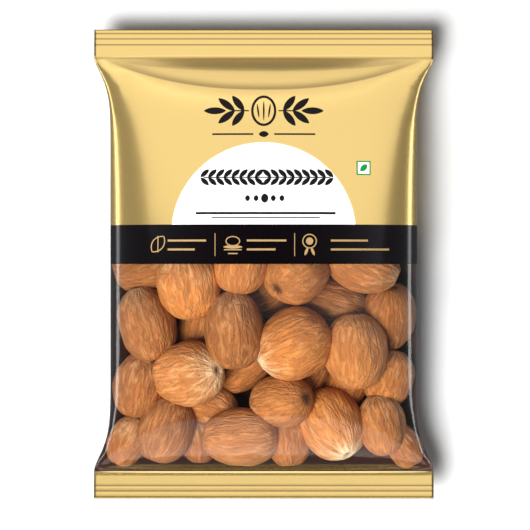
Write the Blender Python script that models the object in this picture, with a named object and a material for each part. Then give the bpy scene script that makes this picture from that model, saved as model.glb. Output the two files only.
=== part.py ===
"""A sealed pillow pack of whole nutmegs, lying on its back with its printed face up.

Metres, +Z up. The origin is on the surface that the pack lies on, under its middle. +Y runs to the
pack's top seal and +X to its right. The pack is one tube of film, pressed flat and sealed at both
ends, so every cross-section is one closed ring. The rings are worked out one by one and joined.
"""

import math

import bmesh
import bpy
import numpy as np

# The flat bag.
PACK_WIDTH = 0.110  # across the flat end seals
PACK_LENGTH = 0.152  # from one cut edge to the other
SEAL_LENGTH = 0.0092  # of each end seal, along Y
SEAL_THICKNESS = 0.0008

# The filled bag.
BODY_WIDTH = 0.099  # the sides draw in as the bag fills
FRONT_RISE = 0.0205  # from the seals' plane up to the front
BACK_DROP = 0.0150  # from the seals' plane down to the back, before the table flattens it
SEAL_PLANE = 0.0135  # height of the middle of the bag's side edges
END_DROOP = 0.0035  # how much lower the seals hang
SEAL_UPTURN = 0.10  # slope at which the bottom seal turns up again
FLARE_REACH = 0.0085  # how far from a seal the sides have mostly drawn in
FRONT_ROUNDNESS = 2.25  # superellipse power of the front, 2 is an ellipse
BACK_ROUNDNESS = 2.8

# The bottom end is the fuller one, because the nutmegs have settled there. The folds are slack film,
# each a crescent that runs from side to side within its reach of the seal.
TOP_END = {
    "power": 2.5,
    "root": 1.35,
    "folds": ({"reach": 0.0046, "depth": 0.0004, "width": 0.0013}, {"reach": 0.0112, "depth": 0.0006, "width": 0.0018}),
}
BOTTOM_END = {
    "power": 3.6,
    "root": 2.2,
    "folds": ({"reach": 0.0160, "depth": 0.0009, "width": 0.0040},),
}
FOLD_HALF_WIDTH = 0.052

# Ribs pressed across each seal, counted from the cut edge.
RIB_COUNT = 3
RIB_PITCH = 0.0018
RIB_HEIGHT = 0.00025

# The lengthwise back seam, folded flat.
SEAM_HALF_WIDTH = 0.005
SEAM_THICKNESS = 0.0005

HALF_RING = 36  # steps along the front, and as many along the back
BODY_ROWS = 38
RIB_STEPS = 4
FINE = 400  # samples that measure the film's length round half a ring

FILM_COLOUR = (0.78, 0.62, 0.30, 1.0)

INNER_END = PACK_LENGTH / 2 - SEAL_LENGTH  # where the body meets a seal


def fullness(end, from_seal):
    """How far the bag has opened, from 0 at a seal to 1 half way along."""
    left = 1 - min(max(from_seal / INNER_END, 0.0), 1.0)
    return (1 - left ** end["power"]) ** (1 / end["root"])


def half_width(from_seal):
    flare = (PACK_WIDTH - BODY_WIDTH) / 2
    if from_seal <= 0:
        return PACK_WIDTH / 2
    return BODY_WIDTH / 2 + flare * math.exp(-((from_seal / FLARE_REACH) ** 1.5))


def spine_height(y):
    """Height of the side edges and of the seals. The top seal hangs to its cut edge, the bottom one turns up."""
    drooped = min(abs(y), INNER_END) if y < 0 else abs(y)
    upturn = SEAL_UPTURN * max(0.0, -INNER_END - y)
    return SEAL_PLANE - END_DROOP * (drooped / (PACK_LENGTH / 2)) ** 4 + upturn


def rib_lift(y):
    """The seal's ribs press both its layers of film up and down together."""
    from_cut = PACK_LENGTH / 2 - abs(y)
    if from_cut > RIB_COUNT * RIB_PITCH:
        return 0.0
    return RIB_HEIGHT * (1 - math.cos(2 * math.pi * from_cut / RIB_PITCH)) / 2


def fold_depth(end, x, from_seal):
    """How deep the crescent folds are at a point of the front."""
    across = 1 - (x / FOLD_HALF_WIDTH) ** 2
    if across <= 0:
        return 0.0
    depth = 0.0
    for fold in end["folds"]:
        off = (from_seal - fold["reach"] * math.sqrt(across)) / fold["width"]
        depth += fold["depth"] * across * math.exp(-off * off)
    return depth


def even_steps(xs, zs):
    """HALF_RING + 1 points along a curve, a constant length of film apart."""
    run = np.concatenate([[0.0], np.cumsum(np.hypot(np.diff(xs), np.diff(zs)))])
    at = np.linspace(0.0, run[-1], HALF_RING + 1)
    return np.interp(at, run, xs), np.interp(at, run, zs)


def half_ring(width, height, roundness):
    """Half a superellipse from +X over to -X."""
    turn = np.linspace(0.0, math.pi, FINE)
    xs = width * np.sign(np.cos(turn)) * np.abs(np.cos(turn)) ** (2 / roundness)
    zs = height * np.abs(np.sin(turn)) ** (2 / roundness)
    return even_steps(xs, zs)


def ring(y):
    """One closed cross-section of the bag: the front from +X to -X, then the back the other way."""
    end = TOP_END if y > 0 else BOTTOM_END
    from_seal = INNER_END - abs(y)
    opened = fullness(end, from_seal)
    width = half_width(from_seal)
    half_seal = SEAL_THICKNESS / 2
    spine = spine_height(y) + rib_lift(y)
    front_x, front_z = half_ring(width, half_seal + FRONT_RISE * opened, FRONT_ROUNDNESS)
    back_x, back_z = half_ring(width, half_seal + BACK_DROP * opened, BACK_ROUNDNESS)
    points = []
    for x, z in zip(front_x, front_z):
        folded = fold_depth(end, x, from_seal) * min(1.0, z / 0.003) if from_seal > 0 else 0.0
        points.append((float(x), y, spine + float(z) - folded))
    for x, z in zip(back_x[-2:0:-1], back_z[-2:0:-1]):
        seam = SEAM_THICKNESS if abs(x) < SEAM_HALF_WIDTH else 0.0
        points.append((float(x), y, max(0.0, spine - float(z) - seam)))
    return points


def row_places():
    """Y of every ring: even rows on the body that crowd towards the seals, and fine rows on the ribs."""
    turns = np.linspace(-math.pi / 2, math.pi / 2, BODY_ROWS + 1)
    body = [INNER_END * (0.55 * math.sin(t) + 0.45 * t / (math.pi / 2)) for t in turns]
    rib_rows = RIB_COUNT * RIB_STEPS
    ribs = [PACK_LENGTH / 2 - RIB_PITCH * i / RIB_STEPS for i in range(rib_rows + 1)]
    return sorted([-y for y in ribs] + body + ribs)


def close_end(bm, loop, outwards):
    """A strip of faces across a cut edge, from the front film to the back film."""
    count = len(loop)
    for i in range(HALF_RING):
        corners = [loop[i], loop[i + 1], loop[(count - i - 1) % count], loop[(count - i) % count]]
        once = list(dict.fromkeys(corners))
        bm.faces.new(once if outwards else once[::-1])


def add_pack():
    bm = bmesh.new()
    loops = [[bm.verts.new(p) for p in ring(y)] for y in row_places()]
    for low, high in zip(loops, loops[1:]):
        for i in range(len(low)):
            j = (i + 1) % len(low)
            bm.faces.new((low[j], low[i], high[i], high[j]))
    close_end(bm, loops[0], False)
    close_end(bm, loops[-1], True)
    bmesh.ops.recalc_face_normals(bm, faces=bm.faces[:])
    mesh = bpy.data.meshes.new("sealed_pack")
    bm.to_mesh(mesh)
    bm.free()
    mesh.shade_smooth()
    pack = bpy.data.objects.new("sealed_pack", mesh)
    bpy.context.scene.collection.objects.link(pack)
    return pack


def film_material():
    material = bpy.data.materials.new("pack_film")
    material.use_nodes = True
    shader = material.node_tree.nodes["Principled BSDF"]
    shader.inputs["Base Color"].default_value = FILM_COLOUR
    shader.inputs["Roughness"].default_value = 0.3
    shader.inputs["Metallic"].default_value = 0.3
    return material


for old in list(bpy.data.objects):
    bpy.data.objects.remove(old)

pack = add_pack()
pack.data.materials.append(film_material())
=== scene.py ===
import math
import random

import bpy
import numpy as np
from mathutils import Matrix, Vector, noise


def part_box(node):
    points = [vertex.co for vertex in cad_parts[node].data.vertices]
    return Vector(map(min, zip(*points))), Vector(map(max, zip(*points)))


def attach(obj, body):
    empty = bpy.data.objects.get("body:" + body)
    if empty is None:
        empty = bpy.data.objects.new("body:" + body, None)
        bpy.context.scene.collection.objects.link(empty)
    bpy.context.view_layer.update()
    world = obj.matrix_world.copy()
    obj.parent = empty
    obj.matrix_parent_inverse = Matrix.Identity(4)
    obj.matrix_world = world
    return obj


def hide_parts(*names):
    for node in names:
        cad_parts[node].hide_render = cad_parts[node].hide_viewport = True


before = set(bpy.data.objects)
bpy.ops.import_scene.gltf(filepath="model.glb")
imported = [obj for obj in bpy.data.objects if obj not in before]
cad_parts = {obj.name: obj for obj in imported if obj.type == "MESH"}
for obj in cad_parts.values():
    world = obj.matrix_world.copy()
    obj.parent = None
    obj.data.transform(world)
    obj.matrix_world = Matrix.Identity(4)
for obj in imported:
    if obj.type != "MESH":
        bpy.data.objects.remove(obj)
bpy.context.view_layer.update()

mm = 0.001
packLow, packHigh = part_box("sealed_pack")
packWidth = packHigh.x - packLow.x
packLength = packHigh.y - packLow.y
packHeight = packHigh.z
print("frame loaded, pack", round(packWidth, 4), round(packLength, 4), round(packHeight, 4))


def deselectAll():
    if bpy.context.object and bpy.context.object.mode != "OBJECT":
        bpy.ops.object.mode_set(mode="OBJECT")
    bpy.ops.object.select_all(action="DESELECT")


def makeActive(piece):
    deselectAll()
    piece.select_set(True)
    bpy.context.view_layer.objects.active = piece


def coordsOf(piece):
    flat = np.empty(len(piece.data.vertices) * 3, np.float32)
    piece.data.vertices.foreach_get("co", flat)
    return flat.reshape(-1, 3).astype(float)


def setCoords(piece, coords):
    piece.data.vertices.foreach_set("co", coords.astype(np.float32).ravel())
    piece.data.update()


def linear(red, green, blue):
    # A colour given as screen values from 0 to 255, as the shader wants it.
    def one(value):
        value /= 255
        return value / 12.92 if value <= 0.04045 else ((value + 0.055) / 1.055) ** 2.4
    return (one(red), one(green), one(blue), 1.0)


view = {"lens": 150, "frameHeight": 1.132 * packLength, "focusHeight": 10 * mm, "aside": 0.4 * mm}


def addCamera():
    deselectAll()
    distance = view["frameHeight"] * view["lens"] / 36
    place = (view["aside"], -view["aside"], view["focusHeight"] + distance)
    bpy.ops.object.camera_add(location=place, rotation=(0, 0, 0))
    camera = bpy.context.object
    camera.name = "photoCamera"
    camera.data.lens = view["lens"]
    camera.data.sensor_width = 36
    camera.data.clip_start = 0.01
    bpy.context.scene.camera = camera


# the first lamp only lights, the others are only mirrored in the glossy film; sizes are width and height
lamps = [
    {"name": "keyLamp", "place": (-0.40, -0.40, 0.90), "size": (0.60, 0.60),
     "watts": 23.2, "mirrored": False},
    {"name": "topPanel", "place": (0.05, 0.34, 0.64), "size": (1.85, 0.96),
     "watts": 4.45, "mirrored": True},
    {"name": "farPanel", "place": (0.0, 0.72, 0.20), "size": (1.4, 0.42),
     "watts": 1.45, "mirrored": True},
    {"name": "leftStrip", "place": (-0.45, 0.0, -0.080), "size": (1.0, 0.085),
     "watts": 0.72, "mirrored": True},
    {"name": "rightStrip", "place": (0.45, 0.0, -0.080), "size": (1.0, 0.085),
     "watts": 0.72, "mirrored": True},
    {"name": "nearPanel", "place": (0.0, -0.56, 0.23), "size": (1.50, 0.34),
     "watts": 2.3, "mirrored": True},
]
worldGlow = 0.17


def addLamps():
    target = Vector((0, 0, 0.4 * packHeight))
    for lamp in lamps:
        deselectAll()
        place = Vector(lamp["place"])
        bpy.ops.object.light_add(type="AREA", location=place)
        made = bpy.context.object
        made.name = lamp["name"]
        made.data.shape = "RECTANGLE"
        made.data.size, made.data.size_y = lamp["size"]
        made.data.energy = lamp["watts"]
        made.visible_glossy = lamp["mirrored"]
        made.visible_diffuse = not lamp["mirrored"]
        made.rotation_euler = (target - place).to_track_quat("-Z", "Y").to_euler()
    world = bpy.data.worlds.new("studio")
    world.use_nodes = True
    world.node_tree.nodes["Background"].inputs["Color"].default_value = (1, 1, 1, 1)
    world.node_tree.nodes["Background"].inputs["Strength"].default_value = worldGlow
    bpy.context.scene.world = world


def addFloor():
    deselectAll()
    bpy.ops.mesh.primitive_plane_add(size=4, location=(0, 0, -0.0002))
    floor = bpy.context.object
    floor.name = "floor"
    paint = bpy.data.materials.new("floorPaint")
    paint.use_nodes = True
    shader = paint.node_tree.nodes["Principled BSDF"]
    shader.inputs["Base Color"].default_value = (0.72, 0.72, 0.72, 1)
    shader.inputs["Roughness"].default_value = 0.9
    floor.data.materials.append(paint)
    # the film mirrors the side lamps, not the floor
    floor.visible_glossy = False
    floor.visible_shadow = False


addCamera()
addLamps()
addFloor()
scene = bpy.context.scene
scene.view_settings.view_transform = "Standard"
scene.view_settings.look = "None"
print("camera, lamps and floor ready")


bag = {
    "sealLength": 9.2 * mm,
    "bodyWidth": 0.9 * packWidth,
    "frontRise": 20.5 * mm,
    "backDrop": 15 * mm,
    "sealPlane": 13.5 * mm,
    "endDroop": 3.5 * mm,
    "upturn": 0.10,
    "flareReach": 8.5 * mm,
    "frontRoundness": 2.25,
    "backRoundness": 2.8,
    "filmGap": 0.12 * mm,
}
bagEnds = {
    "top": {"side": 1, "power": 2.5, "root": 1.35},
    "bottom": {"side": -1, "power": 3.6, "root": 2.2},
}
# slack film lies in crescents: how far each reaches from its seal, how deep it is, how quickly it fades, and at
# the top how dark the painted shade along its crease is
crescents = {
    "top": [
        {"reach": 4.6 * mm, "halfSpan": 54 * mm, "power": 2.6, "depth": 0.14 * mm, "fade": 1.6 * mm,
         "paintedShade": 0.35},
        {"reach": 11.0 * mm, "halfSpan": 53 * mm, "power": 2.3, "depth": 0.30 * mm, "fade": 1.6 * mm,
         "paintedShade": 0.8},
    ],
    "bottom": [
        {"reach": 18.5 * mm, "halfSpan": 54 * mm, "power": 3.0, "depth": 0.85 * mm, "fade": 5.5 * mm},
        {"reach": 8.0 * mm, "halfSpan": 50 * mm, "power": 3.0, "depth": 0.25 * mm, "fade": 2.0 * mm},
    ],
}
# short ridges fan out from the corners: start and end as shares of the pack's half width and half length
cornerRidges = [
    {"start": (0.975, 0.855), "end": (0.80, 0.735), "height": 0.42 * mm, "width": 1.3 * mm},
    {"start": (0.935, 0.790), "end": (0.865, 0.600), "height": 0.34 * mm, "width": 1.2 * mm},
    {"start": (0.900, 0.850), "end": (0.62, 0.775), "height": 0.22 * mm, "width": 1.2 * mm},
]
seam = {"halfWidth": 5 * mm, "thickness": 0.5 * mm, "endGap": 1.5 * mm}
bodyEnd = packLength / 2 - bag["sealLength"]


def fullness(y):
    # 0 at a seal, 1 half way along.
    left = 1 - np.clip((bodyEnd - np.abs(y)) / bodyEnd, 0, 1)
    top, bottom = bagEnds["top"], bagEnds["bottom"]
    return np.where(
        y > 0,
        (1 - left ** top["power"]) ** (1 / top["root"]),
        (1 - left ** bottom["power"]) ** (1 / bottom["root"]),
    )


def halfWidth(y):
    fromSeal = np.maximum(bodyEnd - np.abs(y), 0)
    flare = (packWidth - bag["bodyWidth"]) / 2
    return bag["bodyWidth"] / 2 + flare * np.exp(-((fromSeal / bag["flareReach"]) ** 1.5))


def spineHeight(y):
    # The seals' height. The top seal droops to its cut edge, and the bottom one turns up a little.
    reached = np.minimum(np.abs(y), np.where(y < 0, bodyEnd, packLength))
    droop = bag["endDroop"] * (reached / (packLength / 2)) ** 4
    return bag["sealPlane"] - droop + bag["upturn"] * np.maximum(-bodyEnd - y, 0)


def crescentDent(x, y):
    # How far the front film is let down in its crescent folds.
    fromSeal = bodyEnd - np.abs(y)
    dent = np.zeros_like(x)
    for name, end in bagEnds.items():
        onThisEnd = (y * end["side"] > 0) & (fromSeal > 0)
        for fold in crescents[name]:
            across = np.clip(np.abs(x) / fold["halfSpan"], 0, 1)
            line = fold["reach"] * (1 - across ** fold["power"])
            inside = np.clip((line - fromSeal) / fold["fade"], 0, None)
            shape = inside * np.exp(1 - inside) * (1 - across ** 4)
            dent += np.where(onThisEnd, fold["depth"] * shape, 0)
    return dent


def ridgeLift(x, y):
    # How far the corner ridges stand up at each point.
    lift = np.zeros(np.shape(x))
    across, along = np.abs(x), np.abs(y)
    for ridge in cornerRidges:
        start = np.array(ridge["start"]) * (packWidth / 2, packLength / 2)
        run = np.array(ridge["end"]) * (packWidth / 2, packLength / 2) - start
        length = math.hypot(run[0], run[1])
        share = ((across - start[0]) * run[0] + (along - start[1]) * run[1]) / length ** 2
        aside = ((across - start[0]) * run[1] - (along - start[1]) * run[0]) / length
        inner = np.clip(share, 0, 1)
        shape = np.exp(-((aside / ridge["width"]) ** 2)) * (4 * inner * (1 - inner)) ** 0.7
        lift = lift + ridge["height"] * np.where((share > 0) & (share < 1), shape, 0)
    return lift


def frontHeight(x, y):
    # Height of the front film over any point of the pack.
    width = halfWidth(y)
    across = np.clip(np.abs(x) / width, 0, 1)
    power = bag["frontRoundness"]
    arch = (1 - across ** power) ** (1 / power)
    opened = bag["frontRise"] * fullness(y)
    lift = bag["filmGap"] / 2 + opened * arch
    calm = np.clip(lift / (3 * mm), 0, 1)
    return spineHeight(y) + lift + calm * (ridgeLift(x, y) - crescentDent(x, y))


def backHeight(x, y):
    width = halfWidth(y)
    across = np.clip(np.abs(x) / width, 0, 1)
    power = bag["backRoundness"]
    arch = (1 - across ** power) ** (1 / power)
    drop = bag["filmGap"] / 2 + bag["backDrop"] * fullness(y) * arch
    return np.maximum(spineHeight(y) - drop, seam["thickness"])


filmMesh = {"halfRing": 120, "ribRows": 26, "plainRows": 6, "goldRows": 72, "bandRows": 16, "clearRows": 88}
printLines = {
    "topRibs": packLength / 2 - 5.6 * mm,
    "topSeal": bodyEnd,
    "bandTop": 0.0865 * packLength,
    "bandBottom": 0.0045 * packLength,
    "bottomSeal": -bodyEnd + 0.3 * mm,
    "bottomRibs": -packLength / 2 + 5.0 * mm,
}
ribs = {
    "top": (1.3 * mm, 3.05 * mm, 5.0 * mm),
    "bottom": (0.65 * mm, 2.45 * mm, 4.2 * mm),
    "width": 0.24 * mm,
    "depth": 0.07 * mm,
}


def rowPlaces():
    # Y of every ring of the film. Rings crowd on the ribs, and one lies on each line where the print changes.
    half = packLength / 2
    stretches = [
        (-half, printLines["bottomRibs"], filmMesh["ribRows"]),
        (printLines["bottomRibs"], printLines["bottomSeal"], filmMesh["plainRows"]),
        (printLines["bottomSeal"], printLines["bandBottom"], filmMesh["clearRows"]),
        (printLines["bandBottom"], printLines["bandTop"], filmMesh["bandRows"]),
        (printLines["bandTop"], printLines["topSeal"], filmMesh["goldRows"]),
        (printLines["topSeal"], printLines["topRibs"], filmMesh["plainRows"]),
        (printLines["topRibs"], half, filmMesh["ribRows"]),
    ]
    rows = [-half]
    for low, high, count in stretches:
        rows += list(np.linspace(low, high, count + 1)[1:])
    return np.array(rows)


def evenSteps(xs, zs, count):
    run = np.concatenate([[0.0], np.cumsum(np.hypot(np.diff(xs), np.diff(zs)))])
    return np.interp(np.linspace(0.0, run[-1], count + 1), run, xs)


def ribGroove(y):
    fromCut = packLength / 2 - abs(y)
    places = ribs["top"] if y > 0 else ribs["bottom"]
    return sum(ribs["depth"] * math.exp(-(((fromCut - place) / ribs["width"]) ** 2)) for place in places)


def filmRing(y):
    # One ring of the tube of film, a constant length of film between its points.
    count = filmMesh["halfRing"]
    turn = np.linspace(0.0, math.pi, 600)
    width = float(halfWidth(np.array(y)))
    opened = float(fullness(np.array(y)))
    points = []
    for power, height in ((bag["frontRoundness"], bag["frontRise"]), (bag["backRoundness"], bag["backDrop"])):
        xs = width * np.sign(np.cos(turn)) * np.abs(np.cos(turn)) ** (2 / power)
        zs = (bag["filmGap"] / 2 + height * opened) * np.abs(np.sin(turn)) ** (2 / power)
        points.append(evenSteps(xs, zs, count))
    frontX, backX = points[0], points[1][::-1]
    ys = np.full(count + 1, y)
    front = np.stack([frontX, ys, frontHeight(frontX, ys)], axis=1)
    back = np.stack([backX, ys, backHeight(backX, ys)], axis=1)
    groove = ribGroove(y)
    front[:, 2] -= groove
    back[:, 2] -= groove
    return np.concatenate([front, back[1:-1]])


def addFilm():
    rows = rowPlaces()
    around = 2 * filmMesh["halfRing"]
    deselectAll()
    bpy.ops.mesh.primitive_cylinder_add(
        vertices=around, radius=packWidth / 2, depth=packLength, end_fill_type="NOTHING",
        rotation=(math.pi / 2, 0, 0)
    )
    film = bpy.context.object
    film.name = "film"
    bpy.ops.object.transform_apply(location=True, rotation=True, scale=True)
    bpy.ops.object.mode_set(mode="EDIT")
    bpy.ops.mesh.select_mode(type="EDGE")
    bpy.ops.mesh.select_all(action="DESELECT")
    bpy.ops.object.mode_set(mode="OBJECT")
    ends = coordsOf(film)
    for edge in film.data.edges:
        low, high = edge.vertices
        edge.select = bool(abs(ends[low][1] - ends[high][1]) > packLength / 2)
    bpy.ops.object.mode_set(mode="EDIT")
    bpy.ops.mesh.subdivide(number_cuts=len(rows) - 2)
    bpy.ops.object.mode_set(mode="OBJECT")
    # each point of the plain tube goes to its own place on the filled pack
    plain = coordsOf(film)
    row = np.rint((plain[:, 1] / packLength + 0.5) * (len(rows) - 1)).astype(int)
    angle = np.arctan2(plain[:, 2], plain[:, 0]) % (2 * math.pi)
    step = np.rint(angle / (2 * math.pi) * around).astype(int) % around
    rings = np.stack([filmRing(float(y)) for y in rows])
    setCoords(film, rings[row, step])
    # the two layers meet in the cut edges
    cut = (row == 0) | (row == len(rows) - 1)
    coords = coordsOf(film)
    middle = spineHeight(coords[:, 1])
    coords[cut, 2] = middle[cut]
    paired = np.minimum(step, around - step)
    frontX = rings[:, :, 0]
    coords[cut, 0] = frontX[row[cut], paired[cut]]
    setCoords(film, coords)
    makeActive(film)
    bpy.ops.object.mode_set(mode="EDIT")
    bpy.ops.mesh.select_mode(type="VERT")
    bpy.ops.mesh.select_all(action="DESELECT")
    bpy.ops.object.mode_set(mode="OBJECT")
    film.data.vertices.foreach_set("select", cut)
    bpy.ops.object.mode_set(mode="EDIT")
    bpy.ops.mesh.remove_doubles(threshold=0.00001)
    bpy.ops.mesh.select_all(action="SELECT")
    bpy.ops.mesh.normals_make_consistent(inside=False)
    bpy.ops.object.mode_set(mode="OBJECT")
    bpy.ops.object.shade_smooth()
    return film


film = addFilm()


def newMaterial(name):
    material = bpy.data.materials.new(name)
    material.use_nodes = True
    tree = material.node_tree
    return material, tree.nodes, tree.links, tree.nodes["Principled BSDF"]


def clearFilmMaterial():
    material, nodes, links, gloss = newMaterial("clearFilm")
    gloss.inputs["Base Color"].default_value = (0.9, 0.9, 0.9, 1)
    gloss.inputs["Roughness"].default_value = 0.13
    gloss.inputs["Metallic"].default_value = 1.0
    output = nodes["Material Output"]
    seeThrough = nodes.new("ShaderNodeBsdfTransparent")
    seeThrough.inputs["Color"].default_value = (0.97, 0.97, 0.97, 1)
    # both faces of the film mirror, a little face on and strongly at its sides
    facing = nodes.new("ShaderNodeLayerWeight")
    facing.inputs["Blend"].default_value = 0.5
    steep = nodes.new("ShaderNodeMath")
    steep.operation = "POWER"
    steep.inputs[1].default_value = 2.0
    amount = nodes.new("ShaderNodeMath")
    amount.operation = "MULTIPLY_ADD"
    amount.inputs[1].default_value = 0.60
    amount.inputs[2].default_value = 0.022
    links.new(facing.outputs["Facing"], steep.inputs[0])
    links.new(steep.outputs[0], amount.inputs[0])
    mix = nodes.new("ShaderNodeMixShader")
    links.new(amount.outputs[0], mix.inputs[0])
    links.new(seeThrough.outputs[0], mix.inputs[1])
    links.new(gloss.outputs[0], mix.inputs[2])
    links.new(mix.outputs[0], output.inputs["Surface"])
    return material


dome = {"radius": 0.265 * packWidth, "centreY": 0.0605 * packLength, "edge": 0.12 * mm}
# the gold print, its white dome, and the colour, strength and widths of the painted shade along creases and
# pressed lines
gold = {"colour": linear(247, 212, 132), "metallic": 0.90, "roughness": 0.26, "white": linear(252, 252, 250),
        "paintedShade": linear(150, 122, 70),
        "paintedShadeShare": 0.9, "paintedShadeAbove": 1.5 * mm, "paintedShadeBelow": 0.30 * mm}


def addFilmSheen(nodes, links, shader, strength):
    # Slow unevenness of stretched film.
    place = nodes.new("ShaderNodeTexCoord")
    waves = nodes.new("ShaderNodeTexNoise")
    waves.inputs["Scale"].default_value = 55
    waves.inputs["Detail"].default_value = 2
    bump = nodes.new("ShaderNodeBump")
    bump.inputs["Strength"].default_value = strength
    bump.inputs["Distance"].default_value = 1.0 * mm
    links.new(place.outputs["Object"], waves.inputs["Vector"])
    links.new(waves.outputs["Fac"], bump.inputs["Height"])
    links.new(bump.outputs[0], shader.inputs["Normal"])


def hump(maths, value, middle, width):
    # 1 at the middle, fading to 0 on both sides.
    away = maths("DIVIDE", maths("SUBTRACT", value, middle), width)
    return maths("EXPONENT", maths("MULTIPLY", maths("MULTIPLY", away, away), -1.0))


def goldPrintMaterial():
    material, nodes, links, shader = newMaterial("goldPrint")

    def maths(kind, *values):
        node = nodes.new("ShaderNodeMath")
        node.operation = kind
        for socket, value in zip(node.inputs, values):
            if isinstance(value, bpy.types.NodeSocket):
                links.new(value, socket)
            else:
                socket.default_value = value
        return node.outputs[0]

    place = nodes.new("ShaderNodeTexCoord")
    split = nodes.new("ShaderNodeSeparateXYZ")
    links.new(place.outputs["Object"], split.inputs[0])
    alongDome = maths("SUBTRACT", split.outputs["Y"], dome["centreY"])
    squares = maths("ADD", maths("POWER", split.outputs["X"], 2.0), maths("POWER", alongDome, 2.0))
    away = maths("SQRT", squares)
    edge = nodes.new("ShaderNodeMapRange")
    edge.inputs["From Min"].default_value = dome["radius"] + dome["edge"]
    edge.inputs["From Max"].default_value = dome["radius"] - dome["edge"]
    links.new(away, edge.inputs["Value"])
    isFront = maths("GREATER_THAN", split.outputs["Z"], bag["sealPlane"])
    inDome = maths("MULTIPLY", edge.outputs[0], isFront)
    colour = nodes.new("ShaderNodeMix")
    colour.data_type = "RGBA"
    colour.inputs[6].default_value = gold["colour"]
    colour.inputs[7].default_value = gold["white"]
    links.new(inDome, colour.inputs["Factor"])
    # painted shade: thin dark lines along the creases below the top seal, along the pressed lines in both seals
    # and just below the top seal's edge
    lengthwise = maths("ABSOLUTE", split.outputs["Y"])
    fromSeal = maths("SUBTRACT", bodyEnd, lengthwise)
    atTop = maths("GREATER_THAN", split.outputs["Y"], 0.0)
    marks = []
    for fold in crescents["top"]:
        across = maths("DIVIDE", maths("ABSOLUTE", split.outputs["X"]), fold["halfSpan"])
        share = maths("SUBTRACT", 1.0, maths("POWER", across, fold["power"]))
        reach = maths("MULTIPLY", share, fold["reach"])
        off = maths("SUBTRACT", reach, fromSeal)
        above = hump(maths, maths("MAXIMUM", off, 0.0), 0.0, gold["paintedShadeAbove"])
        below = hump(maths, maths("MINIMUM", off, 0.0), 0.0, gold["paintedShadeBelow"])
        inward = maths("SUBTRACT", 1.0, maths("POWER", across, 6.0))
        free = maths("MULTIPLY", maths("GREATER_THAN", fromSeal, 0.0), inward)
        shadeLine = maths("MULTIPLY", maths("MULTIPLY", above, below), maths("MULTIPLY", free, fold["paintedShade"]))
        marks.append(maths("MULTIPLY", shadeLine, atTop))
    fromCut = maths("SUBTRACT", packLength / 2, lengthwise)
    for name, isHere in (("top", atTop), ("bottom", maths("SUBTRACT", 1.0, atTop))):
        for place in ribs[name]:
            marks.append(maths("MULTIPLY", hump(maths, fromCut, place, ribs["width"]), isHere))
    sealEdgeShade = hump(maths, fromSeal, 0.25 * mm, 0.45 * mm)
    marks.append(maths("MULTIPLY", sealEdgeShade, maths("MULTIPLY", atTop, 0.6)))
    paintedShade = marks[0]
    for shadeLine in marks[1:]:
        paintedShade = maths("MAXIMUM", paintedShade, shadeLine)
    # the gold turns towards the painted shade colour along these lines
    shadedGold = nodes.new("ShaderNodeMix")
    shadedGold.data_type = "RGBA"
    shadedGold.inputs[7].default_value = gold["paintedShade"]
    links.new(maths("MULTIPLY", paintedShade, gold["paintedShadeShare"]), shadedGold.inputs["Factor"])
    links.new(colour.outputs[2], shadedGold.inputs[6])
    links.new(shadedGold.outputs[2], shader.inputs["Base Color"])
    links.new(maths("MULTIPLY", maths("SUBTRACT", 1.0, inDome), gold["metallic"]), shader.inputs["Metallic"])
    shader.inputs["Roughness"].default_value = gold["roughness"]
    shader.inputs["Coat Weight"].default_value = 0.5
    shader.inputs["Coat Roughness"].default_value = 0.08
    addFilmSheen(nodes, links, shader, 0.12)
    return material


def darkInkOrShadeMaterial(name, colour, slantShare):
    # Ink under film, or a dark sheet of painted shade, which mirrors at a slant only.
    material, nodes, links, shader = newMaterial(name)
    shader.inputs["Roughness"].default_value = 0.6
    shader.inputs["Specular IOR Level"].default_value = 0.03
    shader.inputs["Base Color"].default_value = colour
    gloss = nodes.new("ShaderNodeBsdfPrincipled")
    gloss.inputs["Base Color"].default_value = (0.9, 0.9, 0.95, 1)
    gloss.inputs["Metallic"].default_value = 1.0
    gloss.inputs["Roughness"].default_value = 0.16
    facing = nodes.new("ShaderNodeLayerWeight")
    facing.inputs["Blend"].default_value = 0.5
    amount = nodes.new("ShaderNodeMath")
    amount.operation = "MULTIPLY"
    amount.inputs[1].default_value = slantShare
    links.new(facing.outputs["Facing"], amount.inputs[0])
    mix = nodes.new("ShaderNodeMixShader")
    links.new(amount.outputs[0], mix.inputs[0])
    links.new(shader.outputs[0], mix.inputs[1])
    links.new(gloss.outputs[0], mix.inputs[2])
    links.new(mix.outputs[0], nodes["Material Output"].inputs["Surface"])
    return material


film.data.materials.append(clearFilmMaterial())
film.data.materials.append(goldPrintMaterial())
film.data.materials.append(darkInkOrShadeMaterial("blackPrint", linear(7, 4, 6), 0.20))
# the back film in the clear window is a dark brown sheet: painted shade for the gaps between the nutmegs
film.data.materials.append(darkInkOrShadeMaterial("backShadeSheet", linear(66, 32, 16), 0.03))
for face in film.data.polygons:
    x, y, z = face.center
    atBack = z < float(spineHeight(np.array(y)))
    if y > printLines["bandTop"] or y < printLines["bottomSeal"]:
        face.material_index = 1
    elif y > printLines["bandBottom"]:
        face.material_index = 2
    # back faces of the clear window take the dark brown sheet of painted shade
    elif atBack:
        face.material_index = 3
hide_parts("sealed_pack")
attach(film, "root")


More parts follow.
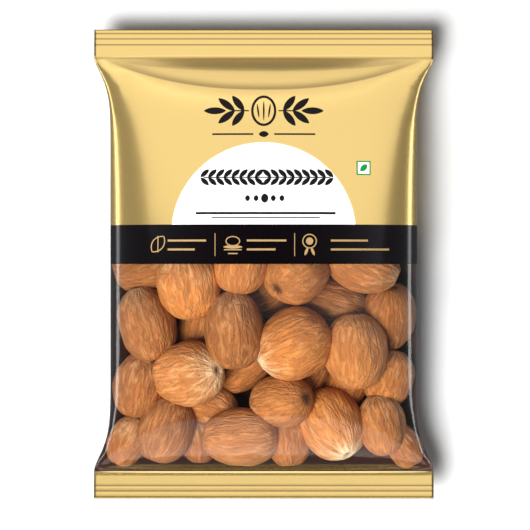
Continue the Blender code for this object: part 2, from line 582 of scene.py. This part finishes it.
def addSeam():
    deselectAll()
    bpy.ops.mesh.primitive_grid_add(x_subdivisions=6, y_subdivisions=160, size=1)
    strip = bpy.context.object
    strip.name = "seam"
    coords = coordsOf(strip)
    coords[:, 0] *= 2 * seam["halfWidth"]
    coords[:, 1] *= 2 * (bodyEnd - seam["endGap"])
    coords[:, 2] = backHeight(np.zeros(len(coords)), coords[:, 1]) - seam["thickness"] / 2
    setCoords(strip, coords)
    thicken = strip.modifiers.new("thicken", "SOLIDIFY")
    thicken.thickness = 0.7 * seam["thickness"]
    thicken.offset = 0
    makeActive(strip)
    bpy.ops.object.modifier_apply(modifier="thicken")
    for material in film.data.materials:
        strip.data.materials.append(material)
    for face in strip.data.polygons:
        y = face.center[1]
        # below the band the seam takes the same dark brown sheet of painted shade
        face.material_index = 1 if y > printLines["bandTop"] else 2 if y > printLines["bandBottom"] else 3
    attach(strip, "root")


# the lengthwise seam lies folded flat against the back
addSeam()


# across and along the pack in mm, length, thickness, heading of the pale tip, its lean to the front,
# how deep it lies under the film, how light it is, partly its own tone and partly painted shade that darkens the
# deeper ones, and how orange it is
frontNutmegs = [
    (-39.5, -1.8, 23.0, 18.5, 15, 0, 1.0, 0.40, 0.15),
    (-23.2, -6.8, 22.5, 19.6, 97, 5, 0.0, 0.78, 1.00),
    (-8.3, -0.8, 22.0, 17.4, 80, 0, 0.5, 0.65, 0.90),
    (11.5, -4.0, 22.0, 19.6, 40, -40, 0.0, 0.62, 0.80),
    (34.0, -2.0, 24.0, 18.0, -22, 0, 0.0, 0.55, 0.60),
    (22.8, -12.0, 25.0, 16.5, -18, 0, 7.0, 0.30, 0.30),
    (41.0, -18.0, 23.4, 17.0, -92, -30, 2.5, 0.42, 0.45),
    (-37.0, -21.0, 24.4, 18.5, 104, 0, 1.0, 0.42, 0.20),
    (-8.6, -21.8, 25.0, 18.8, 92, 0, 0.5, 0.45, 0.25),
    (9.9, -28.6, 25.0, 22.6, 205, 6, 0.0, 0.75, 1.00),
    (32.8, -29.7, 24.3, 20.2, 92, 0, 0.0, 0.72, 0.60),
    (-42.0, -38.5, 21.5, 17.0, 80, 0, 2.5, 0.45, 0.50),
    (-26.3, -35.8, 24.2, 20.2, 10, 36, 0.0, 0.75, 0.60),
    (6.0, -44.2, 22.0, 17.0, 190, -42, 5.5, 0.55, 0.55),
    (26.0, -51.5, 24.2, 21.0, -62, 28, 0.0, 0.80, 1.00),
    (43.0, -39.5, 19.0, 16.0, 75, 0, 2.5, 0.55, 0.75),
    (-34.0, -57.0, 22.5, 18.6, 68, 0, 0.5, 0.45, 0.25),
    (-8.0, -57.2, 24.5, 19.0, 1, 0, 0.0, 0.62, 0.45),
    (42.5, -54.5, 20.0, 15.5, 100, 0, 1.0, 0.55, 0.70),
]
# the same, for the ones that lie on the back of the pack and show between those
backNutmegs = [
    (1.0, -9.5, 20.0, 15.0, 30, 0, 0.50, 0.80),
    (-20.3, -20.5, 21.0, 15.5, 75, 0, 0.50, 0.60),
    (-31.0, -45.5, 21.0, 15.0, -20, 0, 0.50, 0.75),
    (-13.8, -43.0, 21.5, 15.0, 35, 0, 0.45, 0.60),
    (20.6, -36.0, 19.5, 14.5, 60, 0, 0.50, 0.65),
    (39.5, -46.0, 21.0, 14.5, 70, 0, 0.45, 0.80),
    (14.5, -57.0, 18.5, 14.5, 95, 0, 0.50, 0.60),
    (-46.5, -57.5, 17.0, 12.5, 62, 0, 0.45, 0.70),
    (47.0, -61.0, 15.0, 11.0, 120, 0, 0.45, 0.70),
    (-21.5, -60.0, 14.5, 12.0, 90, 0, 0.40, 0.60),
]
# rows that the print hides: distance up the pack, how many, front or back
hiddenRows = [(15, 4, True), (33, 3, True), (12, 3, False), (29, 2, False)]
nutmegMesh = {"front": (120, 42), "back": (96, 34), "hidden": (48, 18)}
settle = {"rounds": 500, "endGap": 0.4 * mm, "lastPull": 0.08, "filmGap": 0.35 * mm, "nutGap": 0.05 * mm}


def listNutmegs():
    dice = random.Random(7)
    found = []
    for x, y, long, thick, heading, lean, depth, lightAndShade, orange in frontNutmegs:
        found.append(dict(kind="front", x=x, y=y, long=long, thick=thick, heading=heading, lean=lean,
                          depth=depth, lightAndShade=lightAndShade, orange=orange, atFront=True))
    for x, y, long, thick, heading, lean, lightAndShade, orange in backNutmegs:
        found.append(dict(kind="back", x=x, y=y, long=long, thick=thick, heading=heading, lean=lean,
                          depth=0, lightAndShade=lightAndShade, orange=orange, atFront=False))
    for y, count, atFront in hiddenRows:
        for number in range(count):
            x = (number - (count - 1) / 2) * 84 / count + dice.uniform(-2, 2)
            found.append(dict(kind="hidden", x=x, y=y + dice.uniform(-2, 2), long=dice.uniform(21, 24),
                              thick=dice.uniform(16.5, 18.5), heading=dice.uniform(0, 360), lean=0,
                              depth=0, lightAndShade=0.5, orange=0.5, atFront=atFront))
    for nut in found:
        nut["roll"] = dice.uniform(0, 360)
        nut["seed"] = Vector((dice.uniform(0, 60), dice.uniform(0, 60), dice.uniform(0, 60)))
        nut["egg"] = dice.uniform(-0.07, 0.07)
        nut["oval"] = dice.uniform(0.0, 0.035)
        nut["furrow"] = dice.choice((0, 0, 0.35, 0.6)) * mm
        nut["furrowAt"] = dice.uniform(-math.pi, math.pi)
    return found


def bagValue(points):
    # Negative inside the pack, 0 on its film, with the size of a distance in metres near the film.
    x, y, z = points[:, 0], points[:, 1], points[:, 2]
    opened = np.maximum(fullness(y), 0.03)
    above = z - spineHeight(y)
    up = above > 0
    power = np.where(up, bag["frontRoundness"], bag["backRoundness"])
    height = np.where(up, bag["frontRise"], bag["backDrop"]) * opened
    reach = (np.abs(x) / halfWidth(y)) ** power + (np.abs(above) / height) ** power
    return np.maximum(reach, 1e-9) ** (1 / power) - 1


def bagPush(centres, radii):
    # How far each ball has to move to be inside the film.
    def slope(points):
        step = 0.05 * mm
        parts = []
        for axis in range(3):
            shift = np.zeros(3)
            shift[axis] = step
            parts.append((bagValue(points + shift) - bagValue(points - shift)) / (2 * step))
        found = np.stack(parts, axis=1)
        return found, np.maximum(np.linalg.norm(found, axis=1), 1e-6)[:, None]
    direction, size = slope(centres)
    touching = centres + direction / size * radii[:, None]
    direction, size = slope(touching)
    over = np.maximum(bagValue(touching)[:, None] / size, 0)
    push = -direction / size * np.minimum(over, 1.5 * mm)
    low = np.maximum(radii + seam["thickness"] + 0.1 * mm - centres[:, 2], 0)
    push[:, 2] = np.where(low > 0, np.maximum(push[:, 2], low), push[:, 2])
    return push


def settleNutmegs(nutmegs):
    # Nutmegs are taken as three balls each, drawn to their places and pushed apart over a set number of rounds.
    heading = np.radians([nut["heading"] for nut in nutmegs])
    lean = np.radians([nut["lean"] for nut in nutmegs])
    axis = np.stack([np.cos(heading) * np.cos(lean), np.sin(heading) * np.cos(lean), np.sin(lean)], axis=1)
    half = np.array([nut["long"] for nut in nutmegs]) * mm / 2
    radius = np.array([nut["thick"] for nut in nutmegs]) * mm / 2
    depth = np.array([nut["depth"] for nut in nutmegs]) * mm
    atFront = np.array([nut["atFront"] for nut in nutmegs])
    wanted = np.array([(nut["x"] * mm, nut["y"] * mm) for nut in nutmegs])
    hold = np.where(np.array([nut["kind"] for nut in nutmegs]) == "front", 0.40, 0.06)[:, None]
    mobile = np.where(np.array([nut["kind"] for nut in nutmegs]) == "front", 0.2, 0.8)
    ballShift = np.array([-1.0, 0.0, 1.0])
    ballSize = np.array([0.88, 0.96, 0.88])
    ballRadius = (radius[:, None] * ballSize[None, :]).ravel()
    owner = np.repeat(np.arange(len(nutmegs)), 3)
    offsets = (half - 0.93 * radius)[:, None, None] * ballShift[None, :, None] * axis[:, None, :]
    offsets = offsets.reshape(-1, 3)
    centres = np.zeros((len(nutmegs), 3))
    centres[:, :2] = wanted
    centres[:, 2] = np.where(atFront, 24 * mm - depth, 10 * mm)
    other = owner[:, None] != owner[None, :]
    reach = ballRadius[:, None] + ballRadius[None, :] + settle["nutGap"]
    share = (mobile[owner][:, None] / (mobile[owner][:, None] + mobile[owner][None, :]))[..., None]
    for number in range(settle["rounds"]):
        pull = max(settle["lastPull"], 1 - number / (0.75 * settle["rounds"]))
        x, y = centres[:, 0], centres[:, 1]
        underFront = frontHeight(x, y) - radius - depth - settle["filmGap"]
        goal = np.where(atFront, underFront, backHeight(x, y) + radius)
        centres[:, :2] += pull * hold * (wanted - centres[:, :2])
        centres[:, 2] += pull * 0.15 * (goal - centres[:, 2])
        balls = centres[owner] + offsets
        apart = balls[:, None, :] - balls[None, :, :]
        gap = np.linalg.norm(apart, axis=2) + 1e-9
        over = np.where(other, np.maximum(reach - gap, 0), 0)
        push = apart / gap[..., None] * over[..., None] * share
        total = push.sum(axis=1).reshape(-1, 3, 3).sum(axis=1)
        touching = (over > 0).sum(axis=1).reshape(-1, 3).sum(axis=1)
        centres += 1.3 * total / np.maximum(touching, 1)[:, None]
        for repeat in range(2):
            balls = centres[owner] + offsets
            inward = bagPush(balls, ballRadius + settle["filmGap"]).reshape(-1, 3, 3)
            strongest = np.argmax(np.linalg.norm(inward, axis=2), axis=1)
            centres += inward[np.arange(len(nutmegs)), strongest]
            balls = centres[owner] + offsets
            low = np.maximum(ballRadius + settle["endGap"] - bodyEnd - balls[:, 1], 0).reshape(-1, 3).max(axis=1)
            high = np.maximum(balls[:, 1] + ballRadius + settle["endGap"] - bodyEnd, 0).reshape(-1, 3).max(axis=1)
            centres[:, 1] += low - high
    worst = over.max()
    print("nutmegs settled, largest overlap left", round(worst / mm, 3), "mm")
    return centres, axis


def shapeNutmeg(nut, unit, centre, axis):
    # Points of one nutmeg, from the points of a ball of radius 1 with its poles on Z, and their marks.
    half = nut["long"] * mm / 2
    radius = nut["thick"] * mm / 2
    x, y, z = unit[:, 0], unit[:, 1], unit[:, 2]
    side = np.hypot(x, y)
    turn = np.arctan2(y, x)
    blunt = side ** 0.90
    seed = nut["seed"]
    lump = np.empty(len(unit))
    wrinkle = np.empty(len(unit))
    for number, (px, py, pz) in enumerate(unit.tolist()):
        spot = Vector((px, py, pz))
        lump[number] = noise.noise(spot * 1.3 + seed) * 0.055 + noise.noise(spot * 3.1 - seed) * 0.022
    swirl = lump * 7
    cosine, sine = np.cos(turn + swirl * 0.12), np.sin(turn + swirl * 0.12)
    for number in range(len(unit)):
        spot = Vector((cosine[number] * 4.6, sine[number] * 4.6, z[number] * 1.7)) + seed
        fine = Vector((cosine[number] * 9.5, sine[number] * 9.5, z[number] * 3.2)) - seed
        wrinkle[number] = 0.7 * (1 - 2.4 * abs(noise.noise(spot))) + 0.3 * (1 - 2.4 * abs(noise.noise(fine)))
    wide = radius * blunt * (1 + nut["egg"] * z + lump)
    fade = np.clip(side * 1.6, 0, 1) * np.clip(side * 6, 0, 1)
    wide += 0.16 * mm * wrinkle * fade
    turned = (turn - nut["furrowAt"] + math.pi) % (2 * math.pi) - math.pi
    wide -= nut["furrow"] * np.exp(-((turned / 0.13) ** 2)) * side ** 2
    tipRadius = 1.1 * mm
    fromTip = radius * side
    along = half * np.sign(z) * np.abs(z) ** 0.94 * (1 + 0.5 * lump)
    along -= np.where(z > 0, 0.55 * mm * np.exp(-((fromTip / tipRadius) ** 2)), 0)
    along += np.where(z > 0, 0.30 * mm * np.exp(-(((fromTip - 2.2 * mm) / tipRadius) ** 2)), 0)
    along += np.where(z < 0, 0.55 * mm * np.exp(-((fromTip / (1.8 * mm)) ** 2)), 0)
    sideways = wide * np.cos(turn) * (1 + nut["oval"])
    upwards = wide * np.sin(turn) * (1 - nut["oval"])
    points = np.stack([sideways, upwards, along], axis=1)
    marks = np.zeros((len(unit), 3))
    ragged = 1 + 0.9 * (wrinkle - 0.4)
    marks[:, 0] = np.where(z > 0, np.exp(-((fromTip / (4.2 * mm * np.clip(ragged, 0.5, 2))) ** 2)), 0)
    marks[:, 1] = np.where(z < 0, np.exp(-((fromTip / (1.55 * mm * np.clip(ragged, 0.7, 1.4))) ** 4)), 0)
    marks[:, 1] = np.maximum(marks[:, 1], np.where(z > 0, np.exp(-((fromTip / (0.75 * mm)) ** 4)), 0))
    marks[:, 2] = wrinkle
    soft = np.sqrt(side)
    grain = np.stack([cosine * soft * radius / mm, sine * soft * radius / mm, z * half / mm], axis=1)
    grain += np.array(seed) * 10
    roll = Matrix.Rotation(math.radians(nut["roll"]), 3, "Z")
    turnTo = Vector(axis).to_track_quat("Z", "Y").to_matrix() @ roll
    placed = points @ np.array(turnTo).T + centre
    for number in range(12):
        over = bagOver(placed)
        worst = int(np.argmax(np.linalg.norm(over, axis=1)))
        placed = placed + 0.8 * over[worst]
    for number in range(8):
        placed = placed + bagOver(placed)
    ceiling = frontHeight(placed[:, 0], placed[:, 1]) - settle["filmGap"] / 3
    placed[:, 2] = np.minimum(placed[:, 2], ceiling)
    return placed, grain, marks


def bagOver(points):
    # How far each point has to move to lie just under the film.
    return bagPush(points, np.full(len(points), settle["filmGap"] / 2))


def addVectors(mesh, name, values):
    layer = mesh.attributes.new(name, "FLOAT_VECTOR", "POINT")
    layer.data.foreach_set("vector", values.astype(np.float32).ravel())


def nutmegMaterial():
    material, nodes, links, shader = newMaterial("nutmegShell")

    def add(kind, **settings):
        node = nodes.new(kind)
        for name, value in settings.items():
            setattr(node, name, value)
        return node

    def noiseAt(source, stretch, detail, distortion):
        mapping = add("ShaderNodeMapping")
        mapping.inputs["Scale"].default_value = stretch
        links.new(source, mapping.inputs["Vector"])
        texture = add("ShaderNodeTexNoise")
        texture.inputs["Scale"].default_value = 1.0
        texture.inputs["Detail"].default_value = detail
        texture.inputs["Distortion"].default_value = distortion
        links.new(mapping.outputs[0], texture.inputs["Vector"])
        return texture.outputs["Fac"]

    def ramp(source, stops):
        node = add("ShaderNodeValToRGB")
        while len(node.color_ramp.elements) < len(stops):
            node.color_ramp.elements.new(0.5)
        for element, (place, colour) in zip(node.color_ramp.elements, stops):
            element.position = place
            element.color = colour
        links.new(source, node.inputs[0])
        return node.outputs["Color"]

    def blend(kind, amount, first, second):
        node = add("ShaderNodeMix", data_type="RGBA", blend_type=kind)
        for socket, value in ((node.inputs["Factor"], amount), (node.inputs[6], first), (node.inputs[7], second)):
            if isinstance(value, bpy.types.NodeSocket):
                links.new(value, socket)
            else:
                socket.default_value = value
        return node.outputs[2]

    def maths(kind, *values):
        node = add("ShaderNodeMath", operation=kind, use_clamp=kind in ("MULTIPLY_ADD", "SUBTRACT"))
        for socket, value in zip(node.inputs, values):
            if isinstance(value, bpy.types.NodeSocket):
                links.new(value, socket)
            else:
                socket.default_value = value
        return node.outputs[0]

    grain = add("ShaderNodeAttribute", attribute_name="grain").outputs["Vector"]
    marks = add("ShaderNodeSeparateXYZ")
    links.new(add("ShaderNodeAttribute", attribute_name="marks").outputs["Vector"], marks.inputs[0])
    toneAndShade = add("ShaderNodeSeparateXYZ")
    links.new(add("ShaderNodeAttribute", attribute_name="toneAndShade").outputs["Vector"], toneAndShade.inputs[0])
    grey = lambda value: (value, value, value, 1)

    # slow waves bend the lengthwise wrinkles
    warp = add("ShaderNodeTexNoise")
    warp.inputs["Scale"].default_value = 0.22
    warp.inputs["Detail"].default_value = 2.0
    links.new(grain, warp.inputs["Vector"])
    bend = add("ShaderNodeVectorMath", operation="MULTIPLY_ADD")
    bend.inputs[1].default_value = (2.4, 2.4, 1.2)
    links.new(warp.outputs["Color"], bend.inputs[0])
    links.new(grain, bend.inputs[2])
    bent = bend.outputs[0]
    streak = noiseAt(bent, (0.75, 0.75, 0.12), 5.0, 0.6)
    mottle = noiseAt(grain, (0.13, 0.13, 0.09), 3.0, 0.4)

    def wrinkles(stretch):
        mapping = add("ShaderNodeMapping")
        mapping.inputs["Scale"].default_value = stretch
        links.new(bent, mapping.inputs["Vector"])
        cells = add("ShaderNodeTexVoronoi", feature="DISTANCE_TO_EDGE")
        cells.inputs["Scale"].default_value = 1.0
        links.new(mapping.outputs[0], cells.inputs["Vector"])
        return cells.outputs["Distance"]

    coarse = wrinkles((0.58, 0.58, 0.105))
    fine = wrinkles((1.25, 1.25, 0.26))
    coarseRise = ramp(coarse, [(0.0, grey(0)), (0.10, grey(0.55)), (0.30, grey(1))])
    fineRise = ramp(fine, [(0.0, grey(0)), (0.12, grey(0.7)), (0.32, grey(1))])
    grooveLine = ramp(coarse, [(0.0, grey(1)), (0.05, grey(0.7)), (0.16, grey(0))])
    fineLine = ramp(fine, [(0.0, grey(0.8)), (0.10, grey(0.25)), (0.2, grey(0))])

    brown = blend("MIX", toneAndShade.outputs["Y"], linear(112, 60, 36), linear(158, 74, 22))
    pale = blend("MIX", toneAndShade.outputs["Y"], linear(198, 128, 86), linear(234, 136, 54))
    streaky = ramp(streak, [(0.34, grey(0)), (0.66, grey(1))])
    shell = blend("MIX", streaky, brown, pale)
    dark = blend("MULTIPLY", 1.0, shell, linear(186, 142, 118))
    shell = blend("MIX", ramp(mottle, [(0.35, grey(0.75)), (0.62, grey(0))]), shell, dark)
    shell = blend("MIX", maths("MULTIPLY", fineLine, 0.45), shell, linear(140, 76, 40))
    shell = blend("MIX", maths("MULTIPLY", grooveLine, 0.60), shell, linear(112, 56, 26))
    ridge = ramp(marks.outputs["Z"], [(0.55, grey(0)), (0.95, grey(0.45))])
    shell = blend("MIX", ridge, shell, linear(236, 172, 104))
    # each nutmeg's lightness, partly its own tone and partly painted shade on the deeper ones, picks between
    # darker and lighter copies of the shell colour
    darker = blend("MULTIPLY", 1.0, shell, linear(170, 150, 138))
    lighter = blend("MIX", 0.35, shell, linear(245, 174, 96))
    shell = blend("MIX", toneAndShade.outputs["X"], darker, lighter)
    # tiny pits
    pits = add("ShaderNodeTexVoronoi", feature="F1")
    pits.inputs["Scale"].default_value = 0.75
    links.new(grain, pits.inputs["Vector"])
    pitted = ramp(pits.outputs["Distance"], [(0.10, grey(0.8)), (0.20, grey(0))])
    shell = blend("MIX", pitted, shell, linear(92, 48, 26))
    tipAmount = maths("MULTIPLY", marks.outputs["X"], toneAndShade.outputs["Z"])
    shell = blend("MIX", tipAmount, shell, linear(250, 222, 174))
    shell = blend("MIX", marks.outputs["Y"], shell, linear(78, 46, 30))
    links.new(shell, shader.inputs["Base Color"])
    shader.inputs["Roughness"].default_value = 0.52
    shader.inputs["Specular IOR Level"].default_value = 0.4

    height = maths("ADD", maths("MULTIPLY", coarseRise, 0.60), maths("MULTIPLY", fineRise, 0.28))
    height = maths("ADD", height, maths("MULTIPLY", streak, 0.35))
    bump = add("ShaderNodeBump")
    bump.inputs["Strength"].default_value = 0.95
    bump.inputs["Distance"].default_value = 0.30 * mm
    links.new(height, bump.inputs["Height"])
    links.new(bump.outputs[0], shader.inputs["Normal"])
    return material


def addNutmegs():
    nutmegs = listNutmegs()
    centres, axes = settleNutmegs(nutmegs)
    shell = nutmegMaterial()
    for kind, (segments, rings) in nutmegMesh.items():
        deselectAll()
        bpy.ops.mesh.primitive_uv_sphere_add(segments=segments, ring_count=rings, radius=1)
        ball = bpy.context.object
        unit = coordsOf(ball)
        made = []
        for nut, centre, axis in zip(nutmegs, centres, axes):
            if nut["kind"] != kind:
                continue
            mesh = ball.data.copy()
            one = bpy.data.objects.new("nutmeg", mesh)
            bpy.context.collection.objects.link(one)
            points, grain, marks = shapeNutmeg(nut, unit, centre, axis)
            setCoords(one, points)
            addVectors(mesh, "grain", grain)
            addVectors(mesh, "marks", marks)
            paleTip = 1.0 if nut["lean"] > 0 else 0.35
            # the attribute holds lightness, partly own tone and partly painted shade, then orangeness and how
            # strongly the pale tip shows
            addVectors(mesh, "toneAndShade", np.tile((nut["lightAndShade"], nut["orange"], paleTip), (len(unit), 1)))
            made.append(one)
        bpy.data.objects.remove(ball)
        deselectAll()
        for one in made:
            one.select_set(True)
        bpy.context.view_layer.objects.active = made[0]
        bpy.ops.object.join()
        piece = bpy.context.object
        piece.name = "nutmegs_" + kind
        bpy.ops.object.shade_smooth()
        piece.data.materials.clear()
        piece.data.materials.append(shell)
        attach(piece, "root")
        print("nutmegs", kind, len(made), "made,", len(piece.data.polygons), "faces")


addNutmegs()


printLift = 0.07 * mm
darkInk = linear(16, 10, 12)
dullGold = linear(168, 138, 92)
greenInk = linear(20, 140, 70)


def addRule(x, y, long, wide):
    # A straight printed line, with points every millimetre so that it can follow the film.
    deselectAll()
    steps = max(2, math.ceil(long / 1.0))
    rows = max(1, math.ceil(wide / 1.0))
    bpy.ops.mesh.primitive_grid_add(x_subdivisions=steps, y_subdivisions=rows, size=mm)
    rule = bpy.context.object
    bpy.ops.object.mode_set(mode="EDIT")
    bpy.ops.transform.resize(value=(long, wide, 1))
    bpy.ops.object.mode_set(mode="OBJECT")
    coords = coordsOf(rule)
    setCoords(rule, coords + np.array([x, y, 0]) * mm)
    return rule


def addDisc(x, y, long, wide, turn=0, pinch=1.0, vertices=36):
    # A printed oval, or a leaf when its ends are pinched.
    deselectAll()
    bpy.ops.mesh.primitive_circle_add(vertices=vertices, radius=1, fill_type="NGON")
    disc = bpy.context.object
    coords = coordsOf(disc)
    coords[:, 1] = np.sign(coords[:, 1]) * np.abs(coords[:, 1]) ** pinch
    coords *= np.array([long / 2, wide / 2, 0])
    cosine, sine = math.cos(math.radians(turn)), math.sin(math.radians(turn))
    turned = coords[:, :2] @ np.array([[cosine, sine], [-sine, cosine]])
    coords[:, :2] = turned + np.array([x, y])
    setCoords(disc, coords * mm)
    return disc


def addRing(x, y, long, wide, line, turn=0, pinch=1.0):
    # The outline of an oval or leaf.
    ring = addDisc(x, y, long, wide, turn, pinch)
    bpy.ops.object.mode_set(mode="EDIT")
    bpy.ops.mesh.select_mode(type="FACE")
    bpy.ops.mesh.select_all(action="SELECT")
    bpy.ops.mesh.inset(thickness=line * mm)
    bpy.ops.mesh.delete(type="FACE")
    bpy.ops.object.mode_set(mode="OBJECT")
    return ring


def sprig(x, y, side):
    # A spray of slender leaves that opens outwards from beside the nutmeg of the emblem.
    shapes = [addRule(x + side * 7.2, y, 5.0, 0.35)]
    for out, lean, long in ((2.2, 52, 6.2), (2.2, -52, 6.2), (5.2, 38, 6.6), (5.2, -38, 6.6), (8.0, 0, 7.0)):
        turn = math.radians(lean)
        middleX = x + side * (4.0 + out + 0.5 * long * math.cos(turn))
        middleY = y + 0.5 * long * math.sin(turn)
        shapes.append(addDisc(middleX, middleY, long, 2.2, side * lean, 1.6))
    return shapes


def emblemShapes():
    shapes = sprig(0.0, 48.6, 1) + sprig(0.0, 48.6, -1)
    shapes.append(addRing(0.0, 48.6, 8.0, 10.0, 0.75))
    for across in (-2.0, 0.0, 2.0):
        shapes.append(addDisc(across * 0.9, 48.6, 6.4 - abs(across) * 0.9, 0.55, 90 - across * 4, 1.3))
    for side in (-1, 1):
        shapes.append(addRule(side * 9.8, 41.0, 13.0, 0.5))
    shapes.append(addDisc(0.0, 41.0, 3.2, 1.9, 0, 1.7))
    return shapes


def domeShapes():
    # a garland of leaves over a small row of beads and a double rule
    shapes = [addRule(1.0, 27.2, 40.0, 0.34)]
    for number in range(17):
        across = -18.6 + 2.45 * number
        lean = 42 if across < 1.0 else -42
        shapes.append(addDisc(across, 28.5, 3.5, 1.5, lean, 1.5, 16))
        shapes.append(addDisc(across, 25.9, 3.5, 1.5, -lean, 1.5, 16))
    for across in (-5.4, -2.7, 0.0, 2.7, 5.4):
        wide = 2.9 if across == 0 else 1.9
        shapes.append(addDisc(across + 0.3, 20.6, wide, wide * 0.8, 90, 1.2, 20))
    shapes.append(addRule(0.6, 15.9, 44.0, 0.75))
    shapes.append(addRule(0.6, 14.5, 34.0, 0.34))
    return shapes


def bandShapes():
    # a leaf, a bowl and a rosette, each with two short rules, and thin lines between them
    shapes = [addRing(-33.4, 6.2, 6.4, 4.0, 0.32, 52, 1.6), addRule(-33.4, 6.2, 0.3, 5.2)]
    shapes += [addRule(-9.7, 4.4, 5.6, 0.34), addRule(-9.7, 3.2, 3.0, 0.34), addRing(-9.7, 7.1, 4.6, 3.2, 0.32)]
    shapes += [addDisc(-9.7, 5.3, 6.0, 1.1, 0, 1.3)]
    shapes += [addRing(14.4, 7.1, 4.6, 4.6, 0.34), addDisc(14.4, 7.1, 2.3, 2.3)]
    shapes += [addDisc(13.4, 3.9, 2.7, 0.9, 68, 1.3), addDisc(15.4, 3.9, 2.7, 0.9, -68, 1.3)]
    for across, first, second in ((-23.8, 12.2, 8.6), (1.2, 12.4, 9.0), (27.6, 11.8, 18.6)):
        shapes.append(addRule(across - (13 - first) / 2, 7.3, first, 0.62))
        shapes.append(addRule(across - (13 - second) / 2, 4.5, second, 0.62))
    shapes += [addRule(-15.3, 6.0, 0.22, 7.2), addRule(9.7, 6.0, 0.22, 7.2)]
    return shapes


def inkMaterial(name, colour):
    material, nodes, links, shader = newMaterial(name)
    shader.inputs["Base Color"].default_value = colour
    shader.inputs["Roughness"].default_value = 0.4
    shader.inputs["Specular IOR Level"].default_value = 0.15
    addFilmSheen(nodes, links, shader, 0.12)
    return material


def layOnFilm(shapes, name, material, lift):
    # Joins flat shapes into one print and lays it on the front film.
    deselectAll()
    for shape in shapes:
        shape.select_set(True)
    bpy.context.view_layer.objects.active = shapes[0]
    bpy.ops.object.join()
    bpy.ops.object.transform_apply(location=True, rotation=True, scale=True)
    printed = bpy.context.object
    printed.name = name
    bpy.ops.object.mode_set(mode="EDIT")
    bpy.ops.mesh.select_all(action="SELECT")
    bpy.ops.mesh.quads_convert_to_tris()
    bpy.ops.mesh.normals_make_consistent(inside=False)
    bpy.ops.object.mode_set(mode="OBJECT")
    coords = coordsOf(printed)
    coords[:, 2] = frontHeight(coords[:, 0], coords[:, 1]) + lift
    setCoords(printed, coords)
    upward = sum(face.normal.z * face.area for face in printed.data.polygons)
    if upward < 0:
        printed.data.flip_normals()
    printed.data.materials.clear()
    printed.data.materials.append(material)
    bpy.ops.object.shade_smooth()
    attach(printed, "root")
    return printed


layOnFilm(emblemShapes() + domeShapes(), "darkPrint", inkMaterial("darkInk", darkInk), printLift)
layOnFilm(bandShapes(), "goldLines", inkMaterial("dullGold", dullGold), printLift)
greenShapes = [addRule(31.6, 30.3, 4.5, 4.5)]
layOnFilm(greenShapes, "greenSquare", inkMaterial("greenInk", greenInk), printLift)
whiteShapes = [addRule(31.6, 30.3, 3.7, 3.7)]
whiteInk = inkMaterial("whiteInk", gold["white"])
layOnFilm(whiteShapes, "whiteSquare", whiteInk, 2 * printLift)
leafShapes = [addDisc(31.6, 30.3, 2.9, 1.7, 45, 1.4)]
layOnFilm(leafShapes, "greenLeaf", inkMaterial("leafInk", greenInk), 3 * printLift)
print("print laid on the film")
